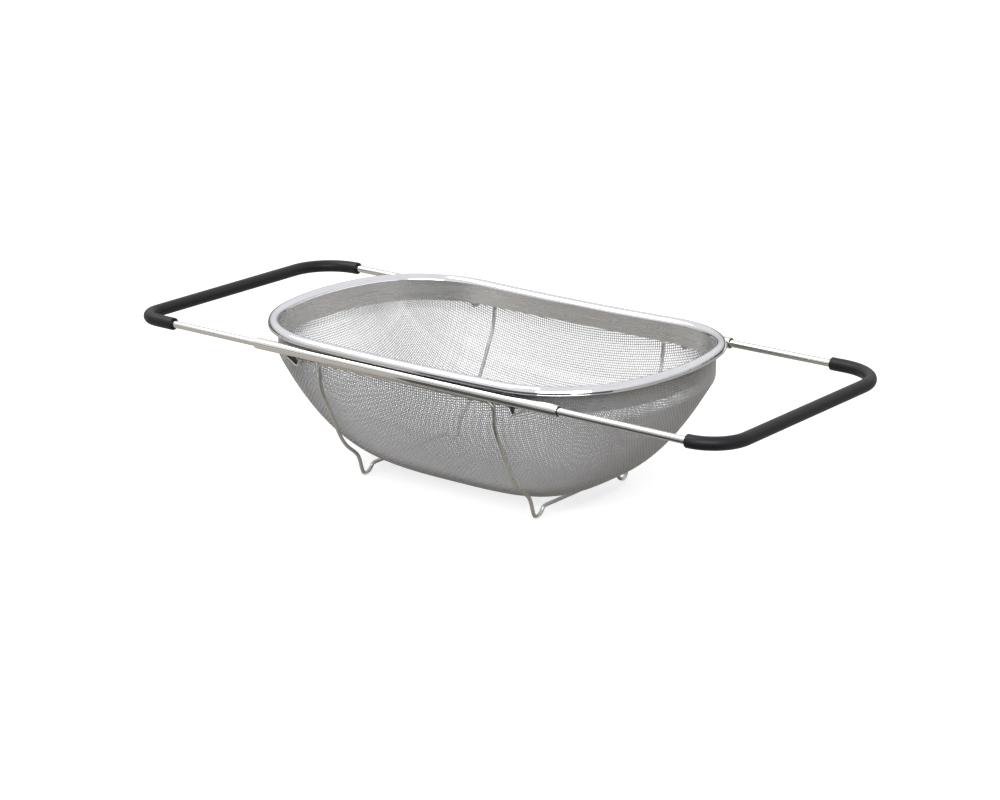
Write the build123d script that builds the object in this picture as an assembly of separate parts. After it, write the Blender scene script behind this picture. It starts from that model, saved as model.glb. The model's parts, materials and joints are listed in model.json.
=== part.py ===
from build123d import *
from math import atan2, cos, pi, sin, sqrt
import os

# Over-the-sink sieve strainer: a woven wire basket hangs in a rolled steel rim. Two tubes beside the rim
# hold two sliding U handles, and a bent wire frame carries the basket on four feet.
# Millimetres, +Z up. The origin is on the floor, under the middle of the basket.

# slide tubes
TUBE_Z = 113.6
TUBE_Y = 115.5
TUBE_L = 300.0
TUBE_OD = 9.0
TUBE_BORE = 8.0

# sliding handles
ROD_D = 6.0
ROD_LEG = 190.0
LEFT_BAR_X = -282.0
LEFT_BENDS = (21.0, 38.0)
RIGHT_BAR_X = 294.5
RIGHT_BENDS = (30.0, 38.0)
GRIP_D = 10.4
LEFT_GRIP_FRONT_X = -241.8
LEFT_GRIP_BACK_X = -241.2
RIGHT_GRIP_FRONT_X = 263.8
RIGHT_GRIP_BACK_X = 243.5

# nylon parts: a bush in each tube mouth, a stop plug on each rod end
BUSH_L = 12.0
BUSH_BORE = 6.1
BUSH_RECESS = 0.4
PLUG_L = 10.0
PLUG_D = 7.9

# rim outline outside the hem, and how far it dips from the ends to the tubes
RIM_HALF_L = 188.4
RIM_HALF_W = 118.5
CORNER_R = 87.2
END_R = 202.0
DIP = 4.2

# rim section over the tubes, heights from the tube axis
HEM_Z = 6.0
SHOULDER_Z = 7.6
RIM_TOP_Z = 11.4
LIP_Z = 7.5
LIP_W = 9.6
CROWN_IN = 4.4
SHEET = 0.8
HEM_R = 0.7

# inner band that clamps the mesh
BAND_IN = 9.05
BAND_T = 0.55
BAND_LOW_Z = -7.6
BAND_TOP_Z = 7.3

# mesh basket
MESH_IN = 8.0
MESH_T = 0.8
MESH_TOP_Z = 7.0
WALL_LOW_Z = -15.0
BASKET_LOW_Z = -109.6
LENGTH_POWER = (0.93, 3.88)
WIDTH_POWER = (1.13, 3.36)
BOTTOM_EXPONENT = 3.3
RING_POINTS = 72
RIM_STATIONS = 24

# wire frame with the four feet
WIRE_D = 3.0
WIRE_X = 87.0
RUN_Y = 113.3
RUN_Z = -5.6
WIRE_BEND_R = 6.0
UNDER_Z = -105.3
LEG_STATIONS = [
    (111.8, -20.0),
    (101.2, -47.0),
    (91.6, -67.0),
    (79.0, -84.4),
    (67.6, -94.3),
    (63.8, -103.5),
    (58.2, -112.1),
    (51.0, -108.0),
]
FOOT_END_Y = 41.0

# folded V brackets
BRACKET_T = 1.0
BRACKET_OUT_Y = 116.8
BRACKET_IN_Y = 110.6
BRACKET_X = (120.0, 107.2, 103.4)
BRACKET_Z = (-4.6, -12.0, -5.4)


def at(x, y, z):
    """A point whose height is counted from the tube axis."""
    return Vector(x, y, z + TUBE_Z)


def outline(inset, z):
    """Rim outline moved inwards: straight sides, corner arcs and flatter end arcs, from the front middle round."""
    a = RIM_HALF_L - inset
    b = RIM_HALF_W - inset
    centre_y = RIM_HALF_W - CORNER_R
    end_x = RIM_HALF_L - END_R
    centre_x = end_x + sqrt((END_R - CORNER_R) ** 2 - centre_y ** 2)
    join = atan2(centre_y, centre_x - end_x)
    turn = (join + pi / 2) / 2
    r = CORNER_R - inset
    jx, jy = centre_x + r * cos(join), centre_y + r * sin(join)
    mx, my = centre_x + r * cos(turn), centre_y + r * sin(turn)
    edges = [
        Line(at(0, -b, z), at(centre_x, -b, z)),
        ThreePointArc(at(centre_x, -b, z), at(mx, -my, z), at(jx, -jy, z)),
        ThreePointArc(at(jx, -jy, z), at(a, 0, z), at(jx, jy, z)),
        ThreePointArc(at(jx, jy, z), at(mx, my, z), at(centre_x, b, z)),
        Line(at(centre_x, b, z), at(-centre_x, b, z)),
        ThreePointArc(at(-centre_x, b, z), at(-mx, my, z), at(-jx, jy, z)),
        ThreePointArc(at(-jx, jy, z), at(-a, 0, z), at(-jx, -jy, z)),
        ThreePointArc(at(-jx, -jy, z), at(-mx, -my, z), at(-centre_x, -b, z)),
        Line(at(-centre_x, -b, z), at(0, -b, z)),
    ]
    return Wire(edges)


def above_dip(z):
    """Everything above a surface that is at height z over the tubes and curves up to the two ends."""
    x = RIM_HALF_L
    low = ThreePointArc(at(-x, 0, z + DIP), at(0, 0, z), at(x, 0, z + DIP))
    high = Polyline(at(x, 0, z + DIP), at(x, 0, z + 40), at(-x, 0, z + 40), at(-x, 0, z + DIP))
    return extrude(Face(Wire([low] + list(high.edges()))), RIM_HALF_W, dir=(0, 1, 0), both=True)


def smooth_ring(points):
    """Closed spline through evenly spaced points."""
    even = [i / RING_POINTS for i in range(RING_POINTS + 1)]
    return Wire(Edge.make_spline(points, periodic=True, parameters=even))


def bowl_section(depth, inset, rise=0.0):
    """Closed section of the basket: the rim's outline at depth 0 blends to a superellipse at depth 1."""
    skin = inset - MESH_IN
    half_a = (RIM_HALF_L - MESH_IN) * (1 - depth ** LENGTH_POWER[0]) ** (1 / LENGTH_POWER[1]) - skin
    half_b = (RIM_HALF_W - MESH_IN) * (1 - depth ** WIDTH_POWER[0]) ** (1 / WIDTH_POWER[1]) - skin
    low = BASKET_LOW_Z + skin
    z = WALL_LOW_Z + (low - WALL_LOW_Z) * depth + rise
    ring = outline(inset, 0)
    points = []
    for i in range(RING_POINTS):
        p = ring.position_at(i / RING_POINTS)
        u = p.X / (RIM_HALF_L - inset)
        v = p.Y / (RIM_HALF_W - inset)
        theta = atan2(v, u)
        eu = abs(cos(theta)) ** (2 / BOTTOM_EXPONENT) * (1 if u >= 0 else -1)
        ev = abs(sin(theta)) ** (2 / BOTTOM_EXPONENT) * (1 if v >= 0 else -1)
        points.append(at(half_a * ((1 - depth) * u + depth * eu), half_b * ((1 - depth) * v + depth * ev), z))
    return smooth_ring(points)


def basket_solid(inset, top):
    """Filled basket shape: an upright wall under the rim, then the rounded bowl down to its flat middle."""
    depths = [0.0, 0.08, 0.18, 0.30, 0.43, 0.56, 0.68, 0.79, 0.88, 0.94, 0.975, 0.992, 0.9985]
    bowl = Solid.make_loft([bowl_section(d, inset) for d in depths])
    wall = Solid.make_loft([bowl_section(0.0, inset), bowl_section(0.0, inset, top - WALL_LOW_Z)], ruled=True)
    return bowl + wall


def mesh_basket():
    """Woven basket as one thin skin, open at the top, its edge following the rim."""
    top = MESH_TOP_Z + DIP + 5
    return basket_solid(MESH_IN, top) - basket_solid(MESH_IN + MESH_T, top + 5) - above_dip(MESH_TOP_Z)


def rim_section(share):
    """Section of the rolled rim at a share of a quarter turn: a dome, a short outer leg and its beaded hem."""
    ring = outline(0, 0)
    spot = ring.position_at(share / 4)
    along = ring.tangent_at(share / 4)
    rise = DIP * (spot.X / RIM_HALF_L) ** 2
    plane = Plane(origin=spot + Vector(0, 0, rise), x_dir=Vector(0, 0, 1).cross(along), z_dir=along)
    outer = [
        Line((0, HEM_Z), (0, SHOULDER_Z)),
        ThreePointArc((0, SHOULDER_Z), (CROWN_IN, RIM_TOP_Z), (LIP_W, LIP_Z)),
        Line((LIP_W, LIP_Z), (LIP_W - SHEET, LIP_Z)),
        ThreePointArc((LIP_W - SHEET, LIP_Z), (CROWN_IN, RIM_TOP_Z - SHEET), (SHEET, SHOULDER_Z)),
        Line((SHEET, SHOULDER_Z), (SHEET, HEM_Z)),
        ThreePointArc((SHEET, HEM_Z), (HEM_R, HEM_Z - HEM_R), (0, HEM_Z)),
    ]
    return plane * Wire(outer)


def rim_bead():
    """Rolled rim, one quarter shaped through its sections and mirrored to the full ring."""
    quarter = Solid.make_loft([rim_section(i / RIM_STATIONS) for i in range(RIM_STATIONS + 1)])
    half = quarter + quarter.mirror(Plane.XZ)
    return half + half.mirror(Plane.YZ)


def inner_band():
    """Flat strip inside the mesh, from under the rim's lip down to below the tubes."""
    h = BAND_TOP_Z + DIP + 1 - BAND_LOW_Z
    ring = extrude(Face(outline(BAND_IN, BAND_LOW_Z)), h)
    return ring - extrude(Face(outline(BAND_IN + BAND_T, BAND_LOW_Z - 1)), h + 2) - above_dip(BAND_TOP_Z)


def rod_along_x(x0, x1, y, radius, bore=0.0):
    """Round bar or sleeve parallel to X, at tube height."""
    plane = Plane(origin=at(x0, y, 0), z_dir=(1, 0, 0))
    bar = extrude(plane * Circle(radius), x1 - x0)
    if bore:
        bar = bar - extrude(plane * Circle(bore), x1 - x0)
    return bar


def side_tube(side):
    """Slide tube, square cut at both mouths."""
    return rod_along_x(-TUBE_L / 2, TUBE_L / 2, side * TUBE_Y, TUBE_OD / 2, TUBE_BORE / 2)


def tube_bush(side, end):
    """Nylon guide bush pressed into a tube mouth."""
    outer = TUBE_L / 2 - BUSH_RECESS
    x0, x1 = sorted((end * outer, end * (outer - BUSH_L)))
    return rod_along_x(x0, x1, side * TUBE_Y, TUBE_BORE / 2, BUSH_BORE / 2)


def rod_end_plug(side, end, bar_x):
    """Nylon stop plug on the hidden end of a handle leg."""
    tip = bar_x - end * ROD_LEG
    x0, x1 = sorted((tip, tip + end * PLUG_L))
    return rod_along_x(x0, x1, side * TUBE_Y, PLUG_D / 2, ROD_D / 2)


def handle_edges(end, bar_x, bends, front_x, back_x):
    """Centre line of a U handle, from the front leg round the cross bar to the back leg."""
    front_r, back_r = bends
    front_y = front_r - TUBE_Y
    back_y = TUBE_Y - back_r
    slant = sqrt(0.5)
    front_bend = at(bar_x - end * front_r, -TUBE_Y, 0)
    front_mid = at(bar_x - end * front_r * (1 - slant), front_y - front_r * slant, 0)
    back_mid = at(bar_x - end * back_r * (1 - slant), back_y + back_r * slant, 0)
    back_bend = at(bar_x - end * back_r, TUBE_Y, 0)
    return [
        Line(at(front_x, -TUBE_Y, 0), front_bend),
        ThreePointArc(front_bend, front_mid, at(bar_x, front_y, 0)),
        Line(at(bar_x, front_y, 0), at(bar_x, back_y, 0)),
        ThreePointArc(at(bar_x, back_y, 0), back_mid, back_bend),
        Line(back_bend, at(back_x, TUBE_Y, 0)),
    ]


def tube_sweep(edges, radius):
    """Round bar along a chain of edges."""
    path = Wire(edges)
    plane = Plane(origin=path @ 0, z_dir=path % 0)
    return sweep(plane * Circle(radius), path=path)


def handle_rod(end, bar_x, bends):
    """Bent handle rod with two equal legs that run inside the tubes."""
    tip = bar_x - end * ROD_LEG
    return tube_sweep(handle_edges(end, bar_x, bends, tip, tip), ROD_D / 2)


def grip(end, bar_x, bends, front_x, back_x):
    """Soft sleeve pushed over the bent part of a handle rod."""
    edges = handle_edges(end, bar_x, bends, front_x, back_x)
    return tube_sweep(edges, GRIP_D / 2) - tube_sweep(edges, ROD_D / 2)


def leg_wire_frame():
    """One closed wire: a run under each tube, four legs down the basket, two runs beneath it with four feet."""
    lean = Vector(0, TUBE_Y - RUN_Y, -RUN_Z)
    first = Vector(0, *LEG_STATIONS[0])
    drop = (first - Vector(0, RUN_Y, RUN_Z - WIRE_BEND_R)).normalized()
    start = Vector(WIRE_X - WIRE_BEND_R, RUN_Y, RUN_Z)
    centre = start + drop * WIRE_BEND_R
    corner = centre + Vector(WIRE_BEND_R, 0, 0)
    middle = centre + (Vector(1, 0, 0) - drop) * (WIRE_BEND_R / sqrt(2))
    points = [corner] + [Vector(WIRE_X, y, z) for y, z in LEG_STATIONS]
    points.append(Vector(WIRE_X, FOOT_END_Y, UNDER_Z))
    up = Vector(0, 0, TUBE_Z)
    edges = [
        Line(Vector(0, RUN_Y, RUN_Z) + up, start + up),
        ThreePointArc(start + up, middle + up, corner + up),
        Spline([p + up for p in points], tangents=(drop, Vector(0, -1, 0))),
        Line(Vector(WIRE_X, FOOT_END_Y, UNDER_Z) + up, Vector(WIRE_X, 0, UNDER_Z) + up),
    ]
    quarter = tube_sweep(edges, WIRE_D / 2)
    half = quarter + quarter.mirror(Plane.XZ)
    return half + half.mirror(Plane.YZ)


def v_bracket(side, end):
    """Folded sheet V between a tube's underside and the basket wall."""
    x = BRACKET_X
    z = BRACKET_Z
    fold = Polyline(at(x[0], 0, z[0]), at(x[1], 0, z[1]), at(x[2], 0, z[2]))
    wall = Polyline(at(x[0] - 2.0, 0, z[0]), at(x[1] + 0.25, 0, z[1] + 1.45), at(x[2] + 1.05, 0, z[2]))
    ends = [Line(fold @ 0, wall @ 0), Line(fold @ 1, wall @ 1)]
    face = Face(Wire(list(fold.edges()) + list(wall.edges()) + ends))
    shape = extrude(face, BRACKET_OUT_Y - BRACKET_IN_Y, dir=(0, 1, 0))
    shape = Pos(0, BRACKET_IN_Y, 0) * shape
    if side < 0:
        shape = shape.mirror(Plane.XZ)
    if end < 0:
        shape = shape.mirror(Plane.YZ)
    return shape


def write(node, shape):
    export_step(shape, os.path.join("parts", node + ".step"))


os.makedirs("parts", exist_ok=True)
SIDES = (("front", -1), ("back", 1))
ENDS = (("left", -1, LEFT_BAR_X, LEFT_BENDS), ("right", 1, RIGHT_BAR_X, RIGHT_BENDS))
write("rim_bead", rim_bead())
write("inner_band", inner_band())
write("mesh_basket", mesh_basket())
write("leg_wire_frame", leg_wire_frame())
for side_name, side in SIDES:
    write("side_tube_" + side_name, side_tube(side))
    for end_name, end, bar_x, bends in ENDS:
        place = "_" + end_name + "_" + side_name
        write("tube_bush" + place, tube_bush(side, end))
        write("rod_end_plug" + place, rod_end_plug(side, end, bar_x))
        write("v_bracket" + place, v_bracket(side, end))
for end_name, end, bar_x, bends in ENDS:
    write(end_name + "_handle_rod", handle_rod(end, bar_x, bends))
write("left_grip", grip(-1, LEFT_BAR_X, LEFT_BENDS, LEFT_GRIP_FRONT_X, LEFT_GRIP_BACK_X))
write("right_grip", grip(1, RIGHT_BAR_X, RIGHT_BENDS, RIGHT_GRIP_FRONT_X, RIGHT_GRIP_BACK_X))
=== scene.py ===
import json
import math

import bpy
import numpy as np
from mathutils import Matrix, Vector
from mathutils.bvhtree import BVHTree

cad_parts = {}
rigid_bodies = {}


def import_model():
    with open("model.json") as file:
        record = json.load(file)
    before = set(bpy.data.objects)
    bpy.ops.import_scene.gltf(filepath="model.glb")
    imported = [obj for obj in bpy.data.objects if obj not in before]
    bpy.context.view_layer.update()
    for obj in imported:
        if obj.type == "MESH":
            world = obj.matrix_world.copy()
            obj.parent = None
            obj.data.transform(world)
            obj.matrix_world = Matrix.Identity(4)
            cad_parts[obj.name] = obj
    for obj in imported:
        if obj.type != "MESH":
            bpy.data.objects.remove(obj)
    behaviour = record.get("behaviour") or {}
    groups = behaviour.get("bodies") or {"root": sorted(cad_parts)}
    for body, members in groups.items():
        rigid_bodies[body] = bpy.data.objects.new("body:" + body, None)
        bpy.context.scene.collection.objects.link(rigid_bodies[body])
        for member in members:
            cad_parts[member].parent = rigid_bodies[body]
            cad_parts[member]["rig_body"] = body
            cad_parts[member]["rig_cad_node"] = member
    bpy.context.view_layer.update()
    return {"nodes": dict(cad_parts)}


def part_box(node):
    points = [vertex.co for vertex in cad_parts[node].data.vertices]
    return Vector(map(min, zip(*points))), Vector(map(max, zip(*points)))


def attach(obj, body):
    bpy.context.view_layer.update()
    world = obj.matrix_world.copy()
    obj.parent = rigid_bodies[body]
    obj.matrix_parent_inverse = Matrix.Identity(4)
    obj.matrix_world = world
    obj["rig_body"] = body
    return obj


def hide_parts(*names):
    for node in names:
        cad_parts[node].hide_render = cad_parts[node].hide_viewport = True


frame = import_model()
bpy.ops.object.select_all(action="DESELECT")

# ---------------------------------------------------------------------------------------------------
# Woven basket. One sheet of plain-weave stainless wire cloth, pressed over a form into a rounded bowl.
# The wires keep their spacing on the flat walls and crowd together where the cloth closes up in the
# corners. The cut edge is clamped under the rim, against the inner band.
# ---------------------------------------------------------------------------------------------------
WEAVE_PITCH = 0.0020
CLOTH_WIRE_R = 0.00037
CRIMP = 0.00024
CLOTH_HALF_SKIN = 0.0004
CLOTH_EDGE_DROP = 0.0006
CROWDING_STARTS = 0.27


def steel_finish(name, tint, shade, roughness, rough_spread, grain, bump=0.0):
    """Bare steel, with grain along its rolling direction that varies its colour, gloss and surface."""
    material = bpy.data.materials.new(name)
    material.use_nodes = True
    nodes = material.node_tree.nodes
    links = material.node_tree.links
    shader = nodes["Principled BSDF"]
    shader.inputs["Metallic"].default_value = 1.0
    place = nodes.new("ShaderNodeTexCoord")
    stretch = nodes.new("ShaderNodeMapping")
    stretch.inputs["Scale"].default_value = grain
    links.new(place.outputs["Object"], stretch.inputs["Vector"])
    noise = nodes.new("ShaderNodeTexNoise")
    noise.inputs["Scale"].default_value = 1.0
    noise.inputs["Detail"].default_value = 4.0
    links.new(stretch.outputs["Vector"], noise.inputs["Vector"])
    colours = nodes.new("ShaderNodeValToRGB")
    colours.color_ramp.elements[0].position = 0.3
    colours.color_ramp.elements[0].color = (*[c * shade for c in tint], 1)
    colours.color_ramp.elements[1].position = 0.7
    colours.color_ramp.elements[1].color = (*tint, 1)
    links.new(noise.outputs["Fac"], colours.inputs["Fac"])
    links.new(colours.outputs["Color"], shader.inputs["Base Color"])
    gloss = nodes.new("ShaderNodeMapRange")
    gloss.inputs["From Min"].default_value = 0.3
    gloss.inputs["From Max"].default_value = 0.7
    gloss.inputs["To Min"].default_value = roughness - rough_spread
    gloss.inputs["To Max"].default_value = roughness + rough_spread
    links.new(noise.outputs["Fac"], gloss.inputs["Value"])
    links.new(gloss.outputs["Result"], shader.inputs["Roughness"])
    if bump:
        relief = nodes.new("ShaderNodeBump")
        relief.inputs["Strength"].default_value = bump
        relief.inputs["Distance"].default_value = 0.00005
        links.new(noise.outputs["Fac"], relief.inputs["Height"])
        links.new(relief.outputs["Normal"], shader.inputs["Normal"])
    return material


def pressed_form():
    """Middle surface of one quarter of the pressed cloth, and the outline of the flat sheet it came from."""
    low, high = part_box("mesh_basket")
    skin = BVHTree.FromObject(frame["nodes"]["mesh_basket"], bpy.context.evaluated_depsgraph_get())
    side_top = max(v.co.z for v in frame["nodes"]["mesh_basket"].data.vertices if abs(v.co.x) < 0.01)
    eye = Vector((0, 0, side_top - CLOTH_EDGE_DROP))
    depth = eye.z - low.z
    turns = np.linspace(0, math.pi / 2, 73)
    rises = np.linspace(0, math.pi / 2, 91)
    rays = np.zeros((len(rises), len(turns), 3))
    for k, rise in enumerate(rises):
        for t, turn in enumerate(turns):
            out = math.sin(rise)
            way = Vector((high.x * out * math.cos(turn), high.y * out * math.sin(turn),
                          -depth * math.cos(rise)))
            hit, normal, _, _ = skin.ray_cast(eye, way.normalized())
            rays[k, t] = hit - normal * CLOTH_HALF_SKIN
    edge = rays[-1] + np.array([0, 0, 1]) * (high.z - side_top) * (rays[-1, :, :1] / high.x) ** 2
    rays = np.concatenate([rays, edge[None]])
    run = np.vstack([np.zeros(len(turns)), np.cumsum(np.linalg.norm(np.diff(rays, axis=0), axis=2), axis=0)])
    levels = np.linspace(0, 1, 121)
    shares = np.linspace(0, 1, 161)
    rings = np.zeros((len(levels), len(shares), 3))
    girth = np.zeros(len(levels))
    for n, level in enumerate(levels):
        ring = np.array([[np.interp(level * run[-1, t], run[:, t], rays[:, t, c]) for c in range(3)]
                         for t in range(len(turns))])[::-1]
        along = np.concatenate([[0], np.cumsum(np.linalg.norm(np.diff(ring, axis=0), axis=1))])
        girth[n] = along[-1]
        for c in range(3):
            rings[n, :, c] = np.interp(shares * along[-1], along, ring[:, c])
    bearing = np.arctan2(high.y * np.sin(turns), high.x * np.cos(turns))
    return rings, girth, bearing, run[-1]


def press(u, v, form):
    """Place on the form of a point u, v of the flat sheet, and its level (0 in the middle, 1 at the edge)."""
    rings, girth, bearing, reach = form
    angle = np.arctan2(np.abs(v), np.abs(u))
    level = np.hypot(u, v) / np.interp(angle, bearing, reach)
    corners = np.column_stack([reach * np.cos(bearing), reach * np.sin(bearing)])[::-1]
    outline = np.concatenate([[0], np.cumsum(np.linalg.norm(np.diff(corners, axis=0), axis=1))])
    share = np.interp(-angle, -bearing[::-1], outline) / outline[-1]
    inside = np.minimum(level, 1.0)
    flat = np.maximum(inside * outline[-1], 1e-6)
    formed = np.interp(inside, np.linspace(0, 1, len(girth)), girth)
    crowd = np.clip((share - CROWDING_STARTS) / (1 - CROWDING_STARTS), 0, 1)
    crowd = crowd * crowd * (3 - 2 * crowd)
    where = np.clip((share * flat - (flat - formed) * crowd) / np.maximum(formed, 1e-6), 0, 1)
    a = inside * (rings.shape[0] - 1)
    b = where * (rings.shape[1] - 1)
    a0 = np.minimum(a.astype(int), rings.shape[0] - 2)
    b0 = np.minimum(b.astype(int), rings.shape[1] - 2)
    fa = (a - a0)[:, None]
    fb = (b - b0)[:, None]
    spot = (rings[a0, b0] * (1 - fa) + rings[a0 + 1, b0] * fa) * (1 - fb)
    spot += (rings[a0, b0 + 1] * (1 - fa) + rings[a0 + 1, b0 + 1] * fa) * fb
    spot[:, 0] *= np.where(u < 0, -1, 1)
    spot[:, 1] *= np.where(v < 0, -1, 1)
    return spot, level


cloth_form = pressed_form()
half_columns = int(cloth_form[3][0] / WEAVE_PITCH) + 1
half_rows = int(cloth_form[3][-1] / WEAVE_PITCH) + 1
column, row = np.meshgrid(np.arange(-half_columns, half_columns + 1), np.arange(-half_rows, half_rows + 1))
cloth_place, cloth_level = press(column.ravel() * WEAVE_PITCH, row.ravel() * WEAVE_PITCH, cloth_form)
sheet_shape = (*column.shape, 3)
across = np.gradient(cloth_place.reshape(sheet_shape), axis=1)
down = np.gradient(cloth_place.reshape(sheet_shape), axis=0)
outwards = np.cross(across, down).reshape(-1, 3)
outwards /= np.maximum(np.linalg.norm(outwards, axis=1), 1e-12)[:, None]
outwards *= np.where(outwards[:, 2] > 0.3, -1, 1)[:, None]
facing = np.sum(outwards * (cloth_place - np.array([0, 0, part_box("mesh_basket")[1].z])), axis=1)
outwards *= np.where(facing < 0, -1, 1)[:, None]
over_under = np.where((column + row).ravel() % 2 == 0, CRIMP, -CRIMP)[:, None]

cloth_steel = steel_finish("wire_cloth_steel", (0.58, 0.58, 0.59), 0.86, 0.42, 0.05, (900, 900, 900))


def cloth_wires(name, runs_along_x, keep):
    """Half of the wires that run one way, each a thin bent wire passing over and under its neighbours."""
    bpy.ops.mesh.primitive_grid_add(x_subdivisions=2 * half_columns, y_subdivisions=2 * half_rows, size=2)
    wires = bpy.context.object
    wires.name = name
    mesh = wires.data
    flat = np.zeros(len(mesh.vertices) * 3)
    mesh.vertices.foreach_get("co", flat)
    flat = flat.reshape(-1, 3)
    i = np.rint((flat[:, 0] + 1) * half_columns).astype(int)
    j = np.rint((flat[:, 1] + 1) * half_rows).astype(int)
    index = j * (2 * half_columns + 1) + i
    lift = over_under if runs_along_x else -over_under
    mesh.vertices.foreach_set("co", (cloth_place + outwards * lift)[index].ravel())
    ends = np.zeros(len(mesh.edges) * 2, int)
    mesh.edges.foreach_get("vertices", ends)
    ends = ends.reshape(-1, 2)
    crosses = (j[ends[:, 0]] != j[ends[:, 1]]) if runs_along_x else (i[ends[:, 0]] != i[ends[:, 1]])
    lane = (j - half_rows) if runs_along_x else (i - half_columns)
    lost = crosses | ~keep(lane[ends[:, 0]]) | (cloth_level[index][ends].max(axis=1) > 1.0)
    bpy.ops.object.mode_set(mode="EDIT")
    bpy.ops.mesh.select_mode(type="FACE")
    bpy.ops.mesh.select_all(action="SELECT")
    bpy.ops.mesh.delete(type="ONLY_FACE")
    bpy.ops.mesh.select_mode(type="EDGE")
    bpy.ops.mesh.select_all(action="DESELECT")
    bpy.ops.object.mode_set(mode="OBJECT")
    mesh.edges.foreach_set("select", lost)
    bpy.ops.object.mode_set(mode="EDIT")
    bpy.ops.mesh.delete(type="EDGE")
    bpy.ops.object.mode_set(mode="OBJECT")
    bpy.ops.object.convert(target="CURVE")
    wires = bpy.context.object
    wires.data.bevel_depth = CLOTH_WIRE_R
    wires.data.bevel_resolution = 0
    wires.data.use_fill_caps = True
    bpy.ops.object.convert(target="MESH")
    wires = bpy.context.object
    wires.name = name
    bpy.ops.object.shade_smooth()
    wires.data.materials.clear()
    wires.data.materials.append(cloth_steel)
    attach(wires, "basket")
    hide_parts("mesh_basket")
    bpy.ops.object.select_all(action="DESELECT")
    return wires


cloth_wires("cloth_weft_front", True, lambda lane: lane < 0)
cloth_wires("cloth_weft_back", True, lambda lane: lane >= 0)
cloth_wires("cloth_warp_left", False, lambda lane: lane < 0)
cloth_wires("cloth_warp_right", False, lambda lane: lane >= 0)

# ---------------------------------------------------------------------------------------------------
# Rolled rim. A strip of stainless sheet rolled into a dome over the cloth's edge, with a beaded hem on
# its outer leg, bent to the basket's outline and butt-welded, then polished bright.
# ---------------------------------------------------------------------------------------------------
rim = frame["nodes"]["rim_bead"]
rim_steel = steel_finish("rim_polished_steel", (0.76, 0.76, 0.78), 0.93, 0.09, 0.04, (60, 60, 700))
rim.data.materials.clear()
rim.data.materials.append(rim_steel)

# ---------------------------------------------------------------------------------------------------
# Inner band. A flat strip of rolled stainless steel, sprung inside the cloth and crimped under the rim's
# lip, so that it clamps the cloth. It has a satin finish, with faint streaks along the strip.
# ---------------------------------------------------------------------------------------------------
band = frame["nodes"]["inner_band"]
band_steel = steel_finish("band_satin_steel", (0.80, 0.79, 0.77), 0.94, 0.27, 0.04, (14, 14, 420))
band.data.materials.clear()
band.data.materials.append(band_steel)

# ---------------------------------------------------------------------------------------------------
# Slide tubes. Two thin-walled stainless tubes, polished along their length and cut square. A black
# nylon bush is pressed into each mouth and guides the handle's leg.
# ---------------------------------------------------------------------------------------------------
tube_steel = steel_finish("tube_polished_steel", (0.80, 0.79, 0.77), 0.93, 0.08, 0.04, (12, 900, 900), 0.05)
for side in ("front", "back"):
    tube = frame["nodes"]["side_tube_" + side]
    tube.data.materials.clear()
    tube.data.materials.append(tube_steel)


def moulded_finish(name, dark, light, roughness, grain, bump):
    """Moulded plastic or rubber with a fine mottled skin."""
    material = bpy.data.materials.new(name)
    material.use_nodes = True
    nodes = material.node_tree.nodes
    links = material.node_tree.links
    shader = nodes["Principled BSDF"]
    place = nodes.new("ShaderNodeTexCoord")
    skin = nodes.new("ShaderNodeTexNoise")
    skin.inputs["Scale"].default_value = grain
    skin.inputs["Detail"].default_value = 5.0
    links.new(place.outputs["Object"], skin.inputs["Vector"])
    colours = nodes.new("ShaderNodeValToRGB")
    colours.color_ramp.elements[0].position = 0.35
    colours.color_ramp.elements[0].color = (*dark, 1)
    colours.color_ramp.elements[1].position = 0.7
    colours.color_ramp.elements[1].color = (*light, 1)
    links.new(skin.outputs["Fac"], colours.inputs["Fac"])
    links.new(colours.outputs["Color"], shader.inputs["Base Color"])
    gloss = nodes.new("ShaderNodeMapRange")
    gloss.inputs["To Min"].default_value = roughness - 0.08
    gloss.inputs["To Max"].default_value = roughness + 0.08
    links.new(skin.outputs["Fac"], gloss.inputs["Value"])
    links.new(gloss.outputs["Result"], shader.inputs["Roughness"])
    relief = nodes.new("ShaderNodeBump")
    relief.inputs["Strength"].default_value = bump
    relief.inputs["Distance"].default_value = 0.0001
    links.new(skin.outputs["Fac"], relief.inputs["Height"])
    links.new(relief.outputs["Normal"], shader.inputs["Normal"])
    return material


bush_nylon = moulded_finish("bush_black_nylon", (0.012, 0.012, 0.013), (0.03, 0.03, 0.032), 0.45, 2500, 0.1)
for side in ("front", "back"):
    for end in ("left", "right"):
        bush = frame["nodes"]["tube_bush_" + end + "_" + side]
        bush.data.materials.clear()
        bush.data.materials.append(bush_nylon)

# ---------------------------------------------------------------------------------------------------
# Wire frame. One closed loop of 3 mm stainless wire: a straight run welded under each tube, four legs
# bent down beside the basket, and two runs beneath it whose ends dip to form the feet.
# ---------------------------------------------------------------------------------------------------
legs = frame["nodes"]["leg_wire_frame"]
leg_steel = steel_finish("leg_wire_steel", (0.66, 0.65, 0.62), 0.88, 0.30, 0.05, (700, 700, 120), 0.1)
legs.data.materials.clear()
legs.data.materials.append(leg_steel)

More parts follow.
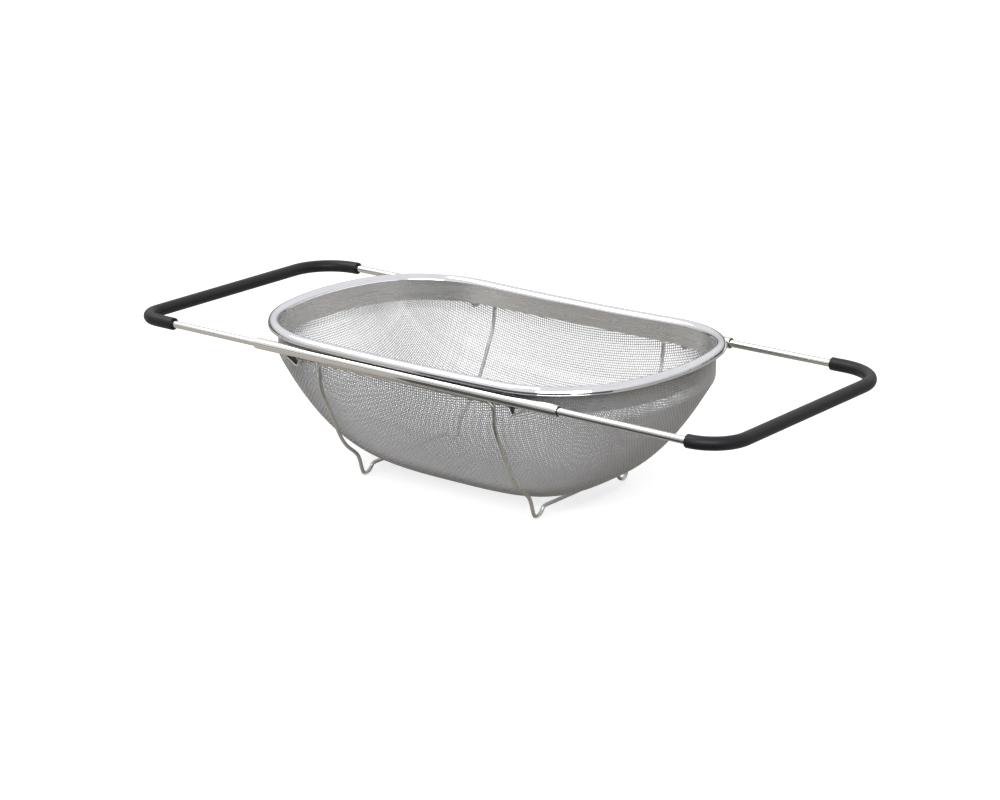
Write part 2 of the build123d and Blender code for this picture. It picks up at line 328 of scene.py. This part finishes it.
# ---------------------------------------------------------------------------------------------------
# V brackets. Four small folded pieces of stainless sheet that hold each tube off the basket's wall.
# The cut edges are broken and the fold has a small inside radius.
# ---------------------------------------------------------------------------------------------------
bracket_steel = steel_finish("bracket_sheet_steel", (0.76, 0.76, 0.76), 0.88, 0.20, 0.05, (500, 60, 500), 0.1)
for side in ("front", "back"):
    for end in ("left", "right"):
        source = frame["nodes"]["v_bracket_" + end + "_" + side]
        bracket = source.copy()
        bracket.data = source.data.copy()
        bracket.name = "bracket_" + end + "_" + side
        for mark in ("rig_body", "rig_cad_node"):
            del bracket[mark]
        bpy.context.scene.collection.objects.link(bracket)
        bracket.parent = None
        bpy.ops.object.select_all(action="DESELECT")
        bracket.select_set(True)
        bpy.context.view_layer.objects.active = bracket
        bpy.ops.object.mode_set(mode="EDIT")
        bpy.ops.mesh.select_all(action="SELECT")
        bpy.ops.mesh.remove_doubles(threshold=0.00001)
        bpy.ops.mesh.dissolve_limited(angle_limit=math.radians(2))
        bpy.ops.mesh.select_all(action="SELECT")
        bpy.ops.mesh.bevel(offset=0.0002, segments=2, affect="EDGES")
        bpy.ops.object.mode_set(mode="OBJECT")
        bpy.ops.object.shade_smooth_by_angle(angle=math.radians(40))
        bracket.data.materials.clear()
        bracket.data.materials.append(bracket_steel)
        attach(bracket, "basket")
        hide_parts(source.name)
        bracket.select_set(False)

# ---------------------------------------------------------------------------------------------------
# Handle rods. Two U-shaped handles bent from 6 mm bright stainless rod. Their legs slide in the tubes,
# and a nylon plug on each hidden end stops against the bush.
# ---------------------------------------------------------------------------------------------------
rod_steel = steel_finish("rod_bright_steel", (0.78, 0.77, 0.75), 0.92, 0.12, 0.04, (14, 900, 900), 0.08)
plug_nylon = moulded_finish("plug_grey_nylon", (0.36, 0.36, 0.35), (0.46, 0.46, 0.45), 0.5, 2500, 0.1)
for end in ("left", "right"):
    rod = frame["nodes"][end + "_handle_rod"]
    rod.data.materials.clear()
    rod.data.materials.append(rod_steel)
    for side in ("front", "back"):
        plug = frame["nodes"]["rod_end_plug_" + end + "_" + side]
        plug.data.materials.clear()
        plug.data.materials.append(plug_nylon)

# ---------------------------------------------------------------------------------------------------
# Grips. Soft black rubber sleeves pushed over the bent part of each rod, cut square at their ends. The
# wall is 2 mm thick and shows as a ring round the rod.
# ---------------------------------------------------------------------------------------------------
GRIP_R = 0.0052
GRIP_BORE_R = 0.0030
GRIP_EDGE = 0.0006
BEND_STEPS = 14
BAR_STEPS = 12
grip_rubber = moulded_finish("grip_soft_rubber", (0.004, 0.004, 0.005), (0.009, 0.009, 0.012), 0.42, 1400,
                             0.12)
grip_rubber.node_tree.nodes["Principled BSDF"].inputs["Specular IOR Level"].default_value = 0.3


def sleeve(name, node, end, front_r, back_r, front_x, back_x):
    """A rubber sleeve, swept from its front end round both bends to its back end."""
    low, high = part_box(node)
    bar_x = (high.x if end > 0 else low.x) - end * GRIP_R
    leg_y = high.y - GRIP_R
    z = (low.z + high.z) / 2
    front_bend_x = bar_x - end * front_r
    back_bend_x = bar_x - end * back_r
    straight = 2 * leg_y - front_r - back_r
    bpy.ops.mesh.primitive_circle_add(vertices=40, radius=GRIP_R, location=(front_x, -leg_y, z),
                                      rotation=(0, math.pi / 2, 0))
    grip = bpy.context.object
    grip.name = name
    bpy.ops.object.transform_apply(location=True, rotation=True, scale=True)
    bpy.ops.object.mode_set(mode="EDIT")
    bpy.ops.mesh.select_all(action="SELECT")
    bpy.ops.mesh.extrude_region_move(TRANSFORM_OT_translate={"value": (front_bend_x - front_x, 0, 0)})
    bpy.ops.mesh.spin(steps=BEND_STEPS, angle=-end * math.pi / 2, center=(front_bend_x, front_r - leg_y, z),
                      axis=(0, 0, 1))
    for _ in range(BAR_STEPS):
        bpy.ops.mesh.extrude_region_move(TRANSFORM_OT_translate={"value": (0, straight / BAR_STEPS, 0)})
    bpy.ops.mesh.spin(steps=BEND_STEPS, angle=-end * math.pi / 2, center=(back_bend_x, leg_y - back_r, z),
                      axis=(0, 0, 1))
    bpy.ops.mesh.extrude_region_move(TRANSFORM_OT_translate={"value": (back_x - back_bend_x, 0, 0)})
    bpy.ops.mesh.select_all(action="SELECT")
    bpy.ops.mesh.remove_doubles(threshold=0.00001)
    bpy.ops.mesh.normals_make_consistent(inside=False)
    bpy.ops.object.mode_set(mode="OBJECT")
    wall = grip.modifiers.new("wall", "SOLIDIFY")
    wall.thickness = GRIP_R - GRIP_BORE_R
    wall.offset = -1
    bpy.ops.object.modifier_apply(modifier="wall")
    soft = grip.modifiers.new("soft_edge", "BEVEL")
    soft.width = GRIP_EDGE
    soft.segments = 3
    soft.limit_method = "ANGLE"
    soft.angle_limit = math.radians(60)
    bpy.ops.object.modifier_apply(modifier="soft_edge")
    bpy.ops.object.shade_smooth_by_angle(angle=math.radians(50))
    grip.data.materials.clear()
    grip.data.materials.append(grip_rubber)
    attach(grip, "right_handle" if end > 0 else "left_handle")
    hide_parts(node)
    grip.select_set(False)
    return grip


left_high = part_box("left_grip")[1]
right_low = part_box("right_grip")[0]
sleeve("grip_sleeve_left", "left_grip", -1, front_r=0.021, back_r=0.038, front_x=-0.2418,
       back_x=left_high.x)
sleeve("grip_sleeve_right", "right_grip", 1, front_r=0.030, back_r=0.038, front_x=0.2638,
       back_x=right_low.x)

# ---------------------------------------------------------------------------------------------------
# Studio. A plain white floor under a bright soft sky with a dark skirting at the horizon, one large lamp
# above and to the left, a low lamp for the band, and dark flags that only the polished steel mirrors.
# ---------------------------------------------------------------------------------------------------
bpy.ops.mesh.primitive_plane_add(size=8, location=(0, 0, 0))
floor = bpy.context.object
floor.name = "studio_floor"
floor_paint = bpy.data.materials.new("floor_paint")
floor_paint.use_nodes = True
floor_shader = floor_paint.node_tree.nodes["Principled BSDF"]
floor_shader.inputs["Base Color"].default_value = (0.56, 0.56, 0.54, 1)
floor_shader.inputs["Roughness"].default_value = 0.9
floor_shader.inputs["Specular IOR Level"].default_value = 0.0
floor_shader.inputs["Emission Color"].default_value = (0.97, 0.97, 1.0, 1)
floor_shader.inputs["Emission Strength"].default_value = 0.58
floor.data.materials.append(floor_paint)

sky = bpy.data.worlds.new("studio_sky")
sky.use_nodes = True
bpy.context.scene.world = sky
sky_nodes = sky.node_tree.nodes
sky_links = sky.node_tree.links
sky_way = sky_nodes.new("ShaderNodeTexCoord")
sky_split = sky_nodes.new("ShaderNodeSeparateXYZ")
sky_links.new(sky_way.outputs["Generated"], sky_split.inputs["Vector"])
sky_height = sky_nodes.new("ShaderNodeValToRGB")
for place, colour in ((0.0, (0.09, 0.08, 0.07)), (0.07, (0.12, 0.11, 0.10)), (0.16, (0.66, 0.66, 0.66)),
                      (0.40, (0.98, 0.98, 1.0))):
    stop = sky_height.color_ramp.elements.new(place) if place else sky_height.color_ramp.elements[0]
    stop.color = (*colour, 1)
sky_height.color_ramp.elements[-1].color = (0.98, 0.98, 1.0, 1)
sky_links.new(sky_split.outputs["Z"], sky_height.inputs["Fac"])
sky_links.new(sky_height.outputs["Color"], sky_nodes["Background"].inputs["Color"])
sky_nodes["Background"].inputs["Strength"].default_value = 1.0

bpy.ops.object.light_add(type="AREA", location=(-0.9, -0.4, 1.6))
lamp = bpy.context.object
lamp.name = "soft_box"
lamp.data.size = 1.2
lamp.data.energy = 14
lamp.rotation_euler = (Vector((0, 0, 0)) - lamp.location).to_track_quat("-Z", "Y").to_euler()


def flag(name, corners, colour):
    """A dark card that only mirror reflections see."""
    bpy.ops.mesh.primitive_plane_add(size=1)
    card = bpy.context.object
    card.name = name
    for vertex, corner in zip(card.data.vertices, corners):
        vertex.co = corner
    cloth = bpy.data.materials.new(name + "_cloth")
    cloth.use_nodes = True
    cloth.node_tree.nodes["Principled BSDF"].inputs["Base Color"].default_value = (*colour, 1)
    card.data.materials.append(cloth)
    card.visible_camera = False
    card.visible_diffuse = False
    card.visible_shadow = False


bpy.ops.object.light_add(type="AREA", location=(0.42, -0.62, 0.52))
fill = bpy.context.object
fill.name = "band_light"
fill.data.shape = "RECTANGLE"
fill.data.size = 0.7
fill.data.size_y = 0.3
fill.data.energy = 3.2
fill.rotation_euler = (Vector((-0.12, 0.10, 0.11)) - fill.location).to_track_quat("-Z", "Y").to_euler()

flag("flag_black",
     ((-0.07, -0.135, 0.003), (0.75, -0.135, 0.003), (-0.45, -0.80, 0.003), (0.75, -0.80, 0.003)),
     (0.004, 0.004, 0.005))
flag("flag_beige",
     ((-1.3, -1.1, 0.002), (1.3, -1.1, 0.002), (-1.3, 1.1, 0.002), (1.3, 1.1, 0.002)),
     (0.34, 0.32, 0.28))

CAMERA_AZIMUTH = math.radians(37.74)
CAMERA_ELEVATION = math.radians(17.14)
CAMERA_ASIDE = 0.00481
CAMERA_BELOW = 0.04548
CAMERA_DISTANCE = 2.21186
TUBE_AXIS_Z = (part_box("side_tube_front")[0].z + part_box("side_tube_front")[1].z) / 2
camera_right = Vector((math.cos(CAMERA_AZIMUTH), math.sin(CAMERA_AZIMUTH), 0))
camera_back = Vector((math.sin(CAMERA_AZIMUTH) * math.cos(CAMERA_ELEVATION),
                      -math.cos(CAMERA_AZIMUTH) * math.cos(CAMERA_ELEVATION), math.sin(CAMERA_ELEVATION)))
camera_up = camera_back.cross(camera_right)
camera_place = Vector((0, 0, TUBE_AXIS_Z))
camera_place += CAMERA_ASIDE * camera_right - CAMERA_BELOW * camera_up + CAMERA_DISTANCE * camera_back
bpy.ops.object.camera_add(location=camera_place, rotation=(math.pi / 2 - CAMERA_ELEVATION, 0, CAMERA_AZIMUTH))
camera = bpy.context.object
camera.name = "studio_camera"
camera.data.sensor_width = 36
camera.data.lens = 99.62
bpy.context.scene.camera = camera
bpy.context.scene.view_settings.view_transform = "Standard"
